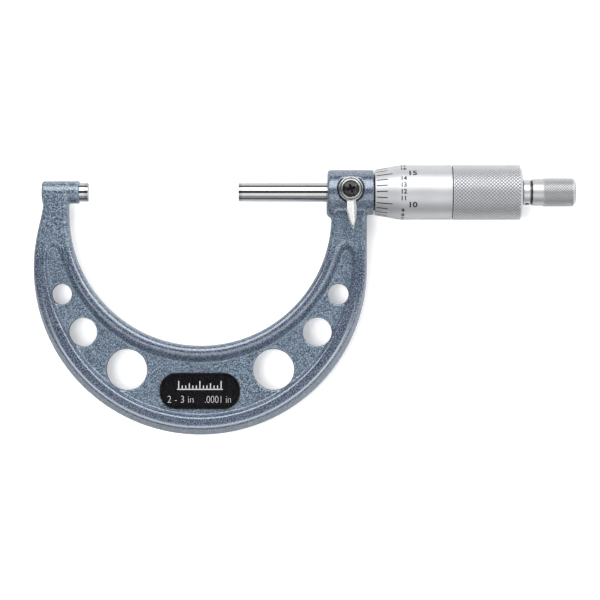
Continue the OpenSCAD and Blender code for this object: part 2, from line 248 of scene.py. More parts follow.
def surface_net(name, field, low, high, cell, sharp_deg=None):
    """A mesh of the surface where the distance field is zero."""
    axes = [np.arange(low[i], high[i] + cell, cell) for i in range(3)]
    values = field(*np.meshgrid(*axes, indexing="ij"))
    inside = values < 0
    shape = [len(a) - 1 for a in axes]
    corners = [(i, j, k) for i in (0, 1) for j in (0, 1) for k in (0, 1)]
    count = sum(
        inside[i:i + shape[0], j:j + shape[1], k:k + shape[2]].astype(np.int8) for i, j, k in corners
    )
    cells = np.argwhere((count > 0) & (count < 8))
    index = np.full(shape, -1, dtype=np.int64)
    index[tuple(cells.T)] = np.arange(len(cells))
    held = np.stack([values[tuple((cells + c).T)] for c in corners], 1)
    total, hits = np.zeros((len(cells), 3)), np.zeros(len(cells))
    for a, ca in enumerate(corners):
        for b, cb in enumerate(corners):
            if b <= a or sum(abs(p - q) for p, q in zip(ca, cb)) != 1:
                continue
            va, vb = held[:, a], held[:, b]
            cross = (va < 0) != (vb < 0)
            t = np.where(cross, va / np.where(cross, va - vb, 1), 0)[:, None]
            total += np.where(cross[:, None], np.array(ca) + t * (np.array(cb) - np.array(ca)), 0)
            hits += cross
    points = (cells + total / hits[:, None]) * cell + np.array(low)
    points = settle(points, field, cell)
    faces = []
    for axis in range(3):
        one, two = [d for d in range(3) if d != axis]
        ends = [slice(None)] * 3
        ends[axis] = slice(0, shape[axis])
        next_ends = list(ends)
        next_ends[axis] = slice(1, shape[axis] + 1)
        change = inside[tuple(ends)] != inside[tuple(next_ends)]
        spots = np.argwhere(change)
        keep = np.all([(spots[:, d] > 0) & (spots[:, d] < shape[d]) for d in (one, two)], axis=0)
        spots = spots[keep]
        quad = []
        for back_one, back_two in ((1, 1), (0, 1), (0, 0), (1, 0)):
            cell_at = spots.copy()
            cell_at[:, one] -= back_one
            cell_at[:, two] -= back_two
            quad.append(index[tuple(cell_at.T)])
        faces.append(np.stack(quad, 1))
    return make_mesh(name, points, np.concatenate(faces), sharp_deg=sharp_deg)


def settle(points, field, cell, rounds=3):
    """Moves net points onto the exact zero of the field."""
    step = 0.05 * cell
    start = points.copy()
    for _ in range(rounds):
        x, y, z = points.T
        value = field(x, y, z)
        slope = np.stack([
            field(x + step, y, z) - field(x - step, y, z),
            field(x, y + step, z) - field(x, y - step, z),
            field(x, y, z + step) - field(x, y, z - step),
        ], 1) / (2 * step)
        size = np.maximum((slope ** 2).sum(1), 0.05)[:, None]
        points = points - slope / size * value[:, None]
        points = start + np.clip(points - start, -0.6 * cell, 0.6 * cell)
    return points


# ------------------------ frame
# the outer arc and the mouth's arc are centred on one line across the mouth
OUTER_R = 56.9
INNER_R = 44.74
ARC_X = FRAME_X0 + OUTER_R
OUTER_Y = FRAME_Y0 + OUTER_R
INNER_Y = -7.6
# half thicknesses of the rims, of the anvil arm's tip and of the web
RIM_H = 5.25
TIP_H = 3.7
WEB_H = PLATE_Z[0]
# the anvil arm's outer edge leans by this much and passes through this point
LEAN = math.radians(5.4)
BEND = (-16.0, -8.0)
ARM_LOW, ARM_TOP = -14, -1.4
# the shoulder falls away over this width, to this share of the half thickness at the edge
SHOULDER = 2.2
EDGE_SHARE = 0.17
INNER_ROUND = 2.1
# the recess: y and radius of its outer arc, radius of its inner one, and its upper ends
RECESS_OUT = (-25.7, 50.5)
RECESS_IN_R = 48.4
RECESS_TOP = -17.5
# the web's holes: distance from the middle line, y and radius
HOLES = [(47.1, -34.7, 3.5), (39.9, -47.6, 4.9), (25.0, -60.4, 7.0)]
# the anvil boss: both ends and radius; then the front end of the spindle boss
ANVIL_BOSS = (-15.8, -3.07, 3.83)
BOSS_X0 = 81.4
ANVIL_BORE_R, ANVIL_BORE_X = 2.4, -13
# the spindle boss is bored in steps: radius, and the x from which it is open
BOSS_BORES = [(4.4, 82.2), (3.45, 60), (5.2, 94)]
SEAT_R = 4.65
STUD_BORE_R = 1.95


def bow_outline(x, y):
    """Distances to the bow's outer edge and to its mouth, seen from the front."""
    left = (-(x - BEND[0]) * math.cos(LEAN) + (y - BEND[1]) * math.sin(LEAN))
    arm_left = np.maximum(np.maximum(left, ARM_LOW - y), x - ARC_X)
    arm_right = np.maximum(np.maximum(x - ARC_X - OUTER_R, OUTER_Y - y), ARC_X - x)
    disc = np.hypot(x - ARC_X, y - OUTER_Y) - OUTER_R
    out = smin(np.minimum(disc, arm_right), arm_left, 1.0)
    return out, np.hypot(x - ARC_X, np.minimum(y - INNER_Y, 0)) - INNER_R


def recess_field(x, y, az, thick):
    """The recess that leaves the web between the rims, with sloped walls."""
    deep = np.clip(thick - az, -1, 4)
    # it widens a little toward its upper ends
    wall_out = np.hypot(x - ARC_X, y - RECESS_OUT[0]) - RECESS_OUT[1] + 0.15 * deep
    wall_out = wall_out - 1.8 * rise(y, -46, -26)
    wall_in = RECESS_IN_R - np.hypot(x - ARC_X, y - INNER_Y) + 0.7 * deep
    recess = smax(wall_out, wall_in, 1.2)
    recess = smax(recess, y - RECESS_TOP + 0.45 * deep, 3.6)
    return smax(recess, WEB_H - az, 0.4)


def frame_field(x, y, z):
    """Signed distance, roughly, of the drop-forged frame."""
    az = np.abs(z)
    out, mouth = bow_outline(x, y)
    # the anvil arm tapers toward its tip
    thick = np.where(x < ARC_X, RIM_H + (TIP_H - RIM_H) * rise(y, -52, BEND[1]), RIM_H)
    # the shoulder narrows as it climbs the arms
    slope = (1 - EDGE_SHARE) * thick / (SHOULDER - 1.5 * rise(y, -60, -28))
    side = (az - EDGE_SHARE * thick + slope * out) / np.sqrt(1 + slope ** 2)
    body = smax(az - thick, side, 1.0)
    body = smax(body, out, 0.5)
    body = round_max(body, -mouth, INNER_ROUND)
    body = smax(body, y - ARM_TOP, 0.5)
    body = smax(body, -recess_field(x, y, az, thick), 1.3 + 0.3 * rise(y, -31, -19))
    for off, up, r in HOLES:
        hole = np.hypot(np.abs(x - ARC_X) - off, y - up) - r
        body = smax(body, -hole, 0.3)

    rho = np.hypot(y, z)
    x0, x1, r = ANVIL_BOSS
    boss = smax(smax(rho - r, x - x1, 0.3), x0 - x, 0.9)
    body = smin(body, boss, 0.6)
    boss = smax(smax(rho - BOSS_R, x - BOSS_X1, 0.35), BOSS_X0 - x, 1.2)
    # its fillet is wide at the mouth's side and small behind it
    body = smin(body, boss, 0.8 + 2.4 * rise(x, 84.5, 82))

    body = np.maximum(body, -np.maximum(rho - ANVIL_BORE_R, ANVIL_BORE_X - x))
    for r, start in BOSS_BORES:
        body = np.maximum(body, -np.maximum(rho - r, start - x))
    from_stud = np.hypot(x - CLAMP_X, y - CLAMP_Y)
    body = smax(body, -np.maximum(from_stud - SEAT_R, SEAT_Z - z), 0.15)
    return np.maximum(body, -np.maximum(from_stud - STUD_BORE_R, -z))


def build_frame():
    return surface_net("frame_forging", frame_field, (-19.6, -83.4, -8.2), (98, 8.4, 8.2), 0.4)


# ------------------------ clamp
LEVER_LEAN = math.radians(3)
LEVER_LEN = 13.6
HUB_R = 4.25
# the hub's lip and ring: distance from the stud's axis, and height
HUB_PROFILE = ([2.75, 2.95, 3.2, 3.3, 3.95, HUB_R], [8.7, 8.78, 8.5, 8.47, 8.43, 7.75])
HUB_SEAT_R, HUB_SEAT_Z = 2.75, 8.25
HUB_BORE_R = 1.92
# along the lever: its half width, the height of its ridge and of its underside
LEVER_HALF = ([2.5, 3.2, 6.6, 10.5, LEVER_LEN], [1.7, 1.65, 2.05, 1.25, 0.22])
LEVER_RIDGE = ([2.6, 3.4, 12.4, LEVER_LEN], [8.4, 8.45, 9.83, 9.87])
LEVER_UNDER = ([3, 9], [7.6, 8.1])
LEVER_START = 2.95


def lever_field(x, y, z):
    """Hub ring with a bright inner lip, and a leaf-shaped lever that rises toward its tip."""
    dx, dy = x - CLAMP_X, y - CLAMP_Y
    across = dx * math.cos(LEVER_LEAN) + dy * math.sin(LEVER_LEAN)
    along = dx * math.sin(LEVER_LEAN) - dy * math.cos(LEVER_LEAN)
    rho = np.hypot(dx, dy)
    hub = smax(rho - HUB_R, (z - np.interp(rho, *HUB_PROFILE)) / 1.1, 0.25)
    hub = smax(hub, HUB_Z - z, 0.2)
    half = np.interp(along, *LEVER_HALF)
    # the top falls away from the ridge, more on one side, and most at the edges
    fall = 0.07 * across ** 2 + 0.5 * np.maximum(across - 0.5, 0)
    fall = fall + 1.3 * np.maximum(np.abs(across) - half + 0.3, 0)
    top = np.interp(along, *LEVER_RIDGE) - fall
    blade = smax(np.abs(across) - half, (z - top) / 1.15, 0.15)
    blade = smax(blade, np.interp(along, *LEVER_UNDER) - z, 0.25)
    blade = np.maximum(blade, np.maximum(along - LEVER_LEN, LEVER_START - along))
    body = smin(hub, blade, 0.45)
    body = smax(body, -np.maximum(rho - HUB_SEAT_R, HUB_SEAT_Z - z), 0.15)
    return np.maximum(body, -(rho - HUB_BORE_R))


SCREW_HEAD_R, SCREW_HEAD_Z = 2.68, 8.32
SHANK_R, SHANK_Z = 0.88, (5.8, 8.6)
CROSS_TURN = math.radians(18)
CROSS_HALF_W, CROSS_REACH, CROSS_DEPTH = 0.36, 1.65, 1.3


def screw_field(x, y, z):
    """Domed head with a cross recess, and its shank."""
    dx, dy = x - CLAMP_X, y - CLAMP_Y
    rho = np.hypot(dx, dy)
    head = smax(rho - SCREW_HEAD_R, z - SCREW_TOP + 0.11 * rho ** 2, 0.25)
    head = np.maximum(head, SCREW_HEAD_Z - z)
    u = dx * math.cos(CROSS_TURN) + dy * math.sin(CROSS_TURN)
    v = dy * math.cos(CROSS_TURN) - dx * math.sin(CROSS_TURN)
    depth = SCREW_TOP - z
    for a, b in ((u, v), (v, u)):
        # the cross narrows and shortens as it goes down
        slot = np.maximum(np.abs(a) - CROSS_HALF_W + 0.1 * depth,
                          np.abs(b) - CROSS_REACH + 0.75 * depth)
        head = smax(head, -np.maximum(slot, depth - CROSS_DEPTH), 0.08)
    shank = np.maximum(np.maximum(rho - SHANK_R, z - SHANK_Z[1]), SHANK_Z[0] - z)
    return np.minimum(head, shank)


def build_clamp():
    lever = surface_net(
        "clamp_lever_forged", lever_field,
        (CLAMP_X - 4.6, CLAMP_Y - 14, 6.2), (CLAMP_X + 4.6, CLAMP_Y + 4.6, 10.1), 0.12, 50,
    )
    screw = surface_net(
        "clamp_screw_cross", screw_field,
        (CLAMP_X - 3, CLAMP_Y - 3, 5.6), (CLAMP_X + 3, CLAMP_Y + 3, 10.1), 0.08, 40,
    )
    return lever, screw


# ------------------------ knurled and threaded parts
def knurl(pitches, x0, x1, depth, pitch):
    """A radius function that cuts crossed grooves between x0 and x1."""
    def radius(x, r, turn):
        if not x0 < x < x1:
            return np.full(len(turn), float(r))
        u, v = turn * pitches, (x - x0) / pitch
        one = 1 - 2 * np.abs((u + v) % 1 - 0.5)
        two = 1 - 2 * np.abs((u - v) % 1 - 0.5)
        # the factor leaves a flat top on each diamond
        height = np.minimum(np.minimum(one, two) * 2.4, 1)
        return r - depth * (1 - height)
    return radius


def knurl_rows(x0, x1, r, pitch):
    """Profile rows an eighth of a pitch apart, as the points round the turn are."""
    count = int(round((x1 - x0) / pitch * 8))
    return [(x0 + i * (x1 - x0) / count, r) for i in range(count + 1)]


# the thimble's cone ends at CONE_X, and a groove parts its smooth barrel from the knurl
CONE_X = 105.85
FRONT_R = 7.75
LIP_R = 7.05
BODY_R = THIMBLE_R - 0.05
KNURL_X = 123.9
GROOVE_DEEP = 0.7
# its outer back edge is a little ahead of the CAD node's, as in the photo
BACK_X = THIMBLE_X1 - 0.6
HOLLOW_X, HOLLOW_R = (107.8, 142.9), 8.0
TAPER_X = (142.9, 147.3)
THIMBLE_DIAMONDS = 48
THIMBLE_PITCH = 2 * math.pi * THIMBLE_R / THIMBLE_DIAMONDS
THIMBLE_CUT = 0.36
KNOB_DIAMONDS = 34
KNOB_PITCH = 2 * math.pi * KNOB_R / KNOB_DIAMONDS
KNOB_CUT = 0.27


def cone_r(x):
    """Outer radius of the thimble ahead of the knurl."""
    if x >= CONE_X:
        return BODY_R
    return FRONT_R + (BODY_R - FRONT_R) * (x - THIMBLE_X0) / (CONE_X - THIMBLE_X0)


def build_thimble():
    """Knurled thimble with a bevelled front edge and a hollow back."""
    k0 = KNURL_X + 0.4
    k1 = k0 + 18.5 * THIMBLE_PITCH
    front = rounded([
        (THIMBLE_X0, LIP_R, 0), (THIMBLE_X0, FRONT_R, 0.12), (CONE_X, BODY_R, 1.2),
        (KNURL_X - 0.25, BODY_R, 0.06), (KNURL_X - 0.2, BODY_R - GROOVE_DEEP, 0.06),
        (KNURL_X + 0.22, BODY_R - GROOVE_DEEP, 0.06), (KNURL_X + 0.27, THIMBLE_R - 0.1, 0.1),
    ])
    back = rounded([
        (THIMBLE_X1 - 1.3, THIMBLE_R - 0.15, 0.25), (BACK_X, THIMBLE_R - 0.9, 0.35),
        (BACK_X, 5.3, 0.1), (THIMBLE_X1 - 0.25, 5.0, 0.1), (THIMBLE_X1 - 0.25, 3.65, 0.1),
        (TAPER_X[1], 3.46, 0), (TAPER_X[0], 3.96, 0), (HOLLOW_X[1], HOLLOW_R, 0.3),
        (HOLLOW_X[0], HOLLOW_R, 0.3), (106.4, LIP_R, 0.3),
    ])
    profile = front + knurl_rows(k0, k1, THIMBLE_R, THIMBLE_PITCH) + back
    cut = knurl(THIMBLE_DIAMONDS, k0 - 0.01, k1 + 0.01, THIMBLE_CUT, THIMBLE_PITCH)
    return turned("thimble_knurled", profile, 8 * THIMBLE_DIAMONDS, cut, 28)


GRIP_X = 154.95
COLLAR_R = 4.52
KNOB_SEAT_X, KNOB_SEAT_R = 162.15, 3.1
KNOB_BORE_R = 1.75
SPRING_ROOM_X, SPRING_ROOM_R = 160, 3.3


def build_knob():
    """Ratchet knob: plain collar, finely knurled grip, and a seat for the screw's head."""
    k0 = GRIP_X + 0.2
    k1 = k0 + 11 * KNOB_PITCH
    front = rounded([
        (KNOB_X0, SPRING_ROOM_R, 0.1), (KNOB_X0, COLLAR_R, 0.2), (GRIP_X - 0.1, COLLAR_R, 0.05),
        (GRIP_X, KNOB_R - 0.15, 0.08),
    ])
    back = rounded([
        (k1 + 0.15, KNOB_R - 0.12, 0.1), (KNOB_X1 - 0.05, KNOB_R - 0.95, 0.3), (KNOB_X1, 3.5, 0.15),
        (KNOB_X1 - 0.35, KNOB_SEAT_R, 0.1), (KNOB_SEAT_X, KNOB_SEAT_R, 0.1),
        (KNOB_SEAT_X, KNOB_BORE_R, 0.05), (SPRING_ROOM_X, KNOB_BORE_R, 0.05),
        (SPRING_ROOM_X, SPRING_ROOM_R, 0.2),
    ])
    profile = front + knurl_rows(k0, k1, KNOB_R, KNOB_PITCH) + back
    cut = knurl(KNOB_DIAMONDS, k0 - 0.01, k1 + 0.01, KNOB_CUT, KNOB_PITCH)
    return turned("ratchet_knob_knurled", profile, 8 * KNOB_DIAMONDS, cut, 28)


def build_knob_ring():
    """Dark ring of painted shade that fills most of the gap ahead of the knob, where the gap's
    shadow falls.
    """
    inner, outer, front = 3.35, 4.15, KNOB_X0 - 0.5
    return turned("knob_gap_shade", rounded([
        (front, inner, 0.05), (front, outer, 0.05), (KNOB_X0, outer, 0), (KNOB_X0, inner, 0),
    ]), 96)


THREAD_X, THREAD_R = (92.9, 130.3), 3.7
NECK_R = 2.9
SPINDLE_HOLE_X, SPINDLE_HOLE_R = 139.5, 1.92


def build_spindle():
    """Ground stem, 40 threads per inch behind it, and the taper that carries the thimble."""
    x0, x1 = THREAD_X
    count = int((x1 - x0) / SCREW_PITCH * 6)
    rows = [(x0 + i * SCREW_PITCH / 6, THREAD_R) for i in range(count)]

    def thread(x, r, turn):
        if not x0 - 0.01 < x < x1 or r != THREAD_R:
            return np.full(len(turn), float(r))
        # the thread runs out at both ends
        fade = min(1, (x - x0) / 0.8, (x1 - x) / 0.8)
        wave = 2 * np.abs((x / SCREW_PITCH - turn) % 1 - 0.5)
        return r - 0.36 * np.clip(1.3 * wave - 0.15, 0, 1) * fade - 0.25 * (1 - fade)

    stem_x = GAP + 1.2
    front = [(stem_x, 0)] + rounded([
        (stem_x, STEM_R, 0), (91.8, STEM_R, 0.1), (92.0, NECK_R, 0.1), (92.7, NECK_R, 0.1),
    ])
    back = rounded([
        (130.5, 3.3, 0.1), (142.3, 3.3, 0.1), (142.5, 3.93, 0.1), (TAPER_X[0], 3.93, 0.02),
        (TAPER_X[1], 3.43, 0.08), (TAPER_X[1], SPINDLE_HOLE_R, 0.05),
        (SPINDLE_HOLE_X, SPINDLE_HOLE_R, 0.05),
    ]) + [(SPINDLE_HOLE_X, 0)]
    return turned("spindle_ground", front + rows + back, 96, thread, 40)


ANVIL_PIN_R = 2.38


def build_measuring_ends():
    """Anvil and the two hard tips, with their edges broken."""
    x0, x1 = span("anvil")
    anvil = turned("anvil_ground", [(x0, 0)] + rounded([
        (x0, ANVIL_PIN_R, 0.2), (-3.1, ANVIL_PIN_R, 0), (-3.07, STEM_R, 0.05), (x1, STEM_R, 0),
    ]) + [(x1, 0)], 96)
    made = [anvil]
    # only the end that measures has its edge broken
    for name, node, breaks in (("anvil_face", "anvil_tip", (0, 0.12)),
                               ("spindle_face", "spindle_tip", (0.12, 0))):
        a, b = span(node)
        ends = rounded([(a, STEM_R, breaks[0]), (b, STEM_R, breaks[1])])
        made.append(turned(name, [(a, 0)] + ends + [(b, 0)], 96))
    return made


SLEEVE_BORE_R = 5.2
SLEEVE_STEP_R = 6.1


def build_sleeve():
    """Graduated sleeve with broken edges, stepped down ahead of the thimble."""
    front = BOSS_X1 + 0.02
    return turned("outer_sleeve_plain", rounded([
        (front, SLEEVE_BORE_R, 0), (front, SLEEVE_STEP_R, 0),
        (THIMBLE_X0 - 0.05, SLEEVE_STEP_R, 0.05), (THIMBLE_X0 + 0.05, SLEEVE_R, 0.1),
        (SLEEVE_X1 - 0.4, SLEEVE_R, 0.1), (SLEEVE_X1, SLEEVE_R - 0.4, 0.1),
        (SLEEVE_X1, SLEEVE_BORE_R, 0.1),
    ]), 192)


SPRING_X = (156.25, 159.95)


def build_spring():
    """Round-wire compression spring with closed ends."""
    x0, x1 = SPRING_X
    wire, coil, turns, per_turn, sides = 0.25, 2.45, 5.0, 40, 14
    steps = int(turns * per_turn)
    points = []
    for i in range(steps + 1):
        t = i / steps
        # the end coils lie flatter and the middle ones take the pitch
        way = t - 0.09 * math.sin(2 * math.pi * t)
        x = x0 + wire + (x1 - x0 - 2 * wire) * way
        angle = 2 * math.pi * turns * t
        for j in range(sides):
            a = 2 * math.pi * j / sides
            r = coil + wire * math.cos(a)
            points.append((x + wire * math.sin(a), r * math.sin(angle), r * math.cos(angle)))
    return make_mesh("ratchet_spring_wire", points, lofted_faces(steps + 1, sides), 60)


# ------------------------ marks and numbers
def flat_text(words, height, stretch=1.0, bold=0.03):
    """Closed solid letters lying in the XY plane, centred, as points and faces."""
    curve = bpy.data.curves.new("letters", "FONT")
    curve.body = words
    curve.extrude = 0.5
    curve.offset = bold
    curve.resolution_u = 4
    obj = bpy.data.objects.new("letters", curve)
    bpy.context.scene.collection.objects.link(obj)
    bpy.context.view_layer.update()
    mesh = bpy.data.meshes.new_from_object(obj.evaluated_get(bpy.context.evaluated_depsgraph_get()))
    work = bmesh.new()
    work.from_mesh(mesh)
    bmesh.ops.remove_doubles(work, verts=work.verts, dist=1e-5)
    ys = [v.co.y for v in work.verts]
    xs = [v.co.x for v in work.verts]
    scale = height / (max(ys) - min(ys))
    # extra cuts across the letters let them bend round a cylinder
    for i in range(1, 8):
        level = min(ys) + (max(ys) - min(ys)) * i / 8
        bmesh.ops.bisect_plane(
            work, geom=work.verts[:] + work.edges[:] + work.faces[:],
            plane_co=(0, level, 0), plane_no=(0, 1, 0),
        )
    bmesh.ops.triangulate(work, faces=work.faces)
    work.verts.index_update()
    middle = ((max(xs) + min(xs)) / 2, (max(ys) + min(ys)) / 2)
    points = [((v.co.x - middle[0]) * scale * stretch, (v.co.y - middle[1]) * scale,
               0.5 if v.co.z > 0 else -0.5) for v in work.verts]
    faces = [tuple(v.index for v in f.verts) for f in work.faces]
    work.free()
    bpy.data.meshes.remove(mesh)
    bpy.data.objects.remove(obj)
    bpy.data.curves.remove(curve)
    return np.array(points), faces


def flat_bar(length, width):
    """A closed bar lying in the XY plane, centred, with its ends rounded."""
    half, r, steps = length / 2, width / 2, 4
    rim = []
    for side, start in ((1, -90), (-1, 90)):
        for i in range(steps + 1):
            a = math.radians(start + 180 * i / steps)
            rim.append((side * (half - r) + r * math.cos(a), r * math.sin(a)))
    count = len(rim)
    points = [(x, y, -0.5) for x, y in rim] + [(x, y, 0.5) for x, y in rim]
    faces = [tuple(range(count))[::-1], tuple(range(count, 2 * count))]
    faces += [(i, (i + 1) % count, count + (i + 1) % count, count + i) for i in range(count)]
    return np.array(points), faces


def quarter_turn(shape):
    """A flat shape turned so that its length runs along y."""
    points, faces = shape
    return np.stack([points[:, 1], -points[:, 0], points[:, 2]], 1), faces


class Marks:
    """Collects thin painted marks into one mesh."""

    def __init__(self, above=0.012, below=0.05):
        self.points, self.faces, self.above, self.below = [], [], above, below

    def add(self, shape, bend):
        points, faces = shape
        start = sum(len(p) for p in self.points)
        flat = points.copy()
        flat[:, 2] = np.where(points[:, 2] > 0, self.above, -self.below)
        self.points.append(np.array([bend(*p) for p in flat]))
        self.faces += [tuple(start + v for v in f) for f in faces]

    def build(self, name):
        return make_mesh(name, np.concatenate(self.points), self.faces, 30)


def on_turned(x, angle_deg, radius_at):
    """Puts flat marks on a turned surface: flat x runs along the axis, flat y round it."""
    def bend(px, py, pz):
        r = radius_at(x + px)
        a = math.radians(angle_deg) + py / r
        return (x + px, (r + pz) * math.sin(a), (r + pz) * math.cos(a))
    return bend


DIVISIONS = 25
DIVISION = 360 / DIVISIONS
# the division that faces the front, in thousandths of an inch past the range's start
FRONT_NUMBER = 12


def build_thimble_marks():
    """25 divisions, with a small number at each and a larger one at every fifth."""
    marks = Marks()
    for n in range(DIVISIONS):
        angle = (n - FRONT_NUMBER) * DIVISION
        fifth = n % 5 == 0
        x0, x1 = THIMBLE_X0 + 0.4, THIMBLE_X0 + (5.9 if fifth else 4.2)
        marks.add(flat_bar(x1 - x0, 0.36), on_turned((x0 + x1) / 2, angle, cone_r))
        shape = flat_text(str(n), 2.15 if fifth else 1.6, 1.15 if fifth else 1.05)
        left = 109.1 if fifth else 106.4
        marks.add(shape, on_turned(left - shape[0][:, 0].min(), angle, cone_r))
    return marks.build("thimble_marks")


LINE_W = 0.12


def build_sleeve_marks():
    """Index line, 0.025 inch ticks with tenths numbered, and the ten-line vernier."""
    def sleeve(x):
        return SLEEVE_R

    marks = Marks()
    zero = THIMBLE_X0 - FRONT_NUMBER / 1000 * INCH
    start, end = THIMBLE_X0 + 0.1, zero + INCH + 0.6
    marks.add(flat_bar(end - start, 0.14), on_turned((start + end) / 2, 0, sleeve))
    for i in range(41):
        tenth = i % 4 == 0
        reach = 2.0 if tenth else 1.2
        x = zero + i * SCREW_PITCH
        if x < start:
            continue
        middle = -math.degrees(reach / 2 / SLEEVE_R)
        marks.add(quarter_turn(flat_bar(reach, LINE_W)), on_turned(x, middle, sleeve))
        if tenth:
            number = flat_text(str(i // 4 % 10), 1.3, 0.95)
            marks.add(number, on_turned(x, -math.degrees(2.9 / SLEEVE_R), sleeve))
    for i in range(11):
        angle = 22 + i * DIVISION * 0.9
        marks.add(flat_bar(22, LINE_W), on_turned(start + 11.8, angle, sleeve))
        number = flat_text(str(i % 10), 1.2, 0.95)
        marks.add(number, on_turned(start + 23.8, angle, sleeve))
    return marks.build("sleeve_marks")


# ------------------------ name plate
def rounded_outline(width, height, corner, inset, steps=14):
    """Points of a rounded rectangle, drawn inset from its edge."""
    r = max(corner - inset, 0.3)
    points = []
    for sx, sy, start in ((1, 1, 0), (-1, 1, 90), (-1, -1, 180), (1, -1, 270)):
        cx, cy = sx * (width / 2 - inset - r), sy * (height / 2 - inset - r)
        for i in range(steps + 1):
            a = math.radians(start + 90 * i / steps)
            points.append((cx + r * math.cos(a), cy + r * math.sin(a)))
    return points


PLATE_CORNER = 5.7


def build_plate():
    """Black plate with a bevelled edge and a fine groove inside it."""
    width, height = PLATE_X[1] - PLATE_X[0], PLATE_Y[1] - PLATE_Y[0]
    cx, cy = PLATE_MIDDLE
    low, top = PLATE_Z
    # how far in from the edge, and how high
    levels = [(0, low), (0, top - 0.22), (0.05, top - 0.1), (0.2, top), (0.72, top),
              (0.8, top - 0.09), (0.92, top - 0.09), (1.0, top), (1.3, top)]
    points = []
    for inset, z in levels:
        outline = rounded_outline(width, height, PLATE_CORNER, inset)
        points += [(cx + x, cy + y, z) for x, y in outline]
    faces = lofted_faces(len(levels), len(points) // len(levels))
    return make_mesh("name_plate_black", points, faces, 25)


RULE_W = 0.34


def build_plate_marks():
    """A plain scale for an emblem, and the range and the smallest reading."""
    marks = Marks(0.02, 0.06)
    cx, cy = PLATE_MIDDLE
    top = PLATE_Z[1]

    def at(x, y):
        return lambda px, py, pz: (x + px, y + py, top + pz)

    line_y = cy + 0.55
    marks.add(flat_bar(15.6, RULE_W), at(cx, line_y))
    for i in range(13):
        tall = 2.9 if i % 6 == 0 else 2.1 if i % 3 == 0 else 1.35
        mark = quarter_turn(flat_bar(tall, RULE_W))
        marks.add(mark, at(cx - 7.2 + 1.2 * i, line_y + tall / 2))
    for words, x in (("2 - 3 in", cx - 6.6), (".0001 in", cx + 6.1)):
        points, faces = flat_text(words, 2.35, 1, -0.02)
        # both are drawn out to the same width
        points[:, 0] *= 8.8 / (points[:, 0].max() - points[:, 0].min())
        marks.add((points, faces), at(x, cy - 2.85))
    return marks.build("name_plate_marks")


# ------------------------ materials
class Shader:
    """A small builder for one principled material."""

    def __init__(self, name, metallic=0.0, roughness=0.4, **values):
        self.material = bpy.data.materials.new(name)
        self.material.use_nodes = True
        self.tree = self.material.node_tree
        self.main = self.tree.nodes["Principled BSDF"]
        self.main.inputs["Metallic"].default_value = metallic
        self.main.inputs["Roughness"].default_value = roughness
        for key, value in values.items():
            self.main.inputs[key.replace("_", " ")].default_value = value
        self.coords = self.tree.nodes.new("ShaderNodeTexCoord")

    def node(self, kind, **inputs):
        made = self.tree.nodes.new(kind)
        for key, value in inputs.items():
            socket = made.inputs[key.replace("_", " ")]
            if isinstance(value, bpy.types.NodeSocket):
                self.tree.links.new(value, socket)
            else:
                socket.default_value = value
        return made

    def scaled(self, x, y, z):
        """Object coordinates, in cells per metre along each axis."""
        return self.node("ShaderNodeMapping", Vector=self.coords.outputs["Object"],
                         Scale=(x, y, z)).outputs["Vector"]

    def where(self):
        """The X, Y and Z of the object coordinates, as a map of sockets."""
        return self.node("ShaderNodeSeparateXYZ", Vector=self.coords.outputs["Object"]).outputs

    def noise(self, vector, detail, roughness, distortion=0.0):
        return self.node("ShaderNodeTexNoise", Vector=vector, Scale=1.0, Detail=detail,
                         Roughness=roughness, Distortion=distortion).outputs["Fac"]

    def cells(self, vector):
        """Distance from the middles of soft-edged cells."""
        made = self.node("ShaderNodeTexVoronoi", Vector=vector, Scale=1.0, Randomness=1.0)
        made.feature = "SMOOTH_F1"
        return made.outputs["Distance"]

    def ramp(self, fac, stops):
        made = self.node("ShaderNodeValToRGB", Fac=fac)
        band = made.color_ramp
        while len(band.elements) < len(stops):
            band.elements.new(0.5)
        for element, (place_at, colour) in zip(band.elements, stops):
            element.position = place_at
            element.color = (*colour, 1)
        return made.outputs["Color"]

    def spread(self, fac, low, high):
        """The middle of a noise's values stretched onto low to high."""
        return self.node("ShaderNodeMapRange", Value=fac, From_Min=0.3, From_Max=0.7,
                         To_Min=low, To_Max=high).outputs["Result"]

    def mix(self, fac, a, b):
        """Colour a where the factor is 0, and b where it is 1."""
        made = self.tree.nodes.new("ShaderNodeMix")
        made.data_type = "RGBA"
        self.tree.links.new(fac, made.inputs[0])
        for socket, value in ((made.inputs[6], a), (made.inputs[7], b)):
            if isinstance(value, bpy.types.NodeSocket):
                self.tree.links.new(value, socket)
            else:
                socket.default_value = (*value, 1)
        return made.outputs[2]

    def bump(self, height, distance_mm, strength, normal=None):
        made = self.node("ShaderNodeBump", Height=height, Strength=strength,
                         Distance=distance_mm * MM)
        if normal is not None:
            self.tree.links.new(normal, made.inputs["Normal"])
        return made.outputs["Normal"]

    def step(self, value, low, high):
        """0 where the value is at low millimetres, 1 where it is at high."""
        return self.node("ShaderNodeMapRange", Value=value, From_Min=low * MM,
                         From_Max=high * MM).outputs["Result"]

    def combine(self, how, a, b):
        """Two values taken through one Math node."""
        made = self.tree.nodes.new("ShaderNodeMath")
        made.operation = how
        self.tree.links.new(a, made.inputs[0])
        self.tree.links.new(b, made.inputs[1])
        return made.outputs["Value"]

    def from_point(self, vector, point):
        """Distance of a vector from a point in metres."""
        made = self.node("ShaderNodeVectorMath", Vector=vector)
        made.operation = "DISTANCE"
        made.inputs[1].default_value = point
        return made.outputs["Value"]

    def colour(self, socket):
        self.tree.links.new(socket, self.main.inputs["Base Color"])

    def rough(self, socket):
        self.tree.links.new(socket, self.main.inputs["Roughness"])

    def normal(self, socket):
        self.tree.links.new(socket, self.main.inputs["Normal"])


# the painted highlight runs round the outer rim's crest
CREST_R = OUTER_R - SHOULDER - 0.55
CREST_HALF_W = 0.7


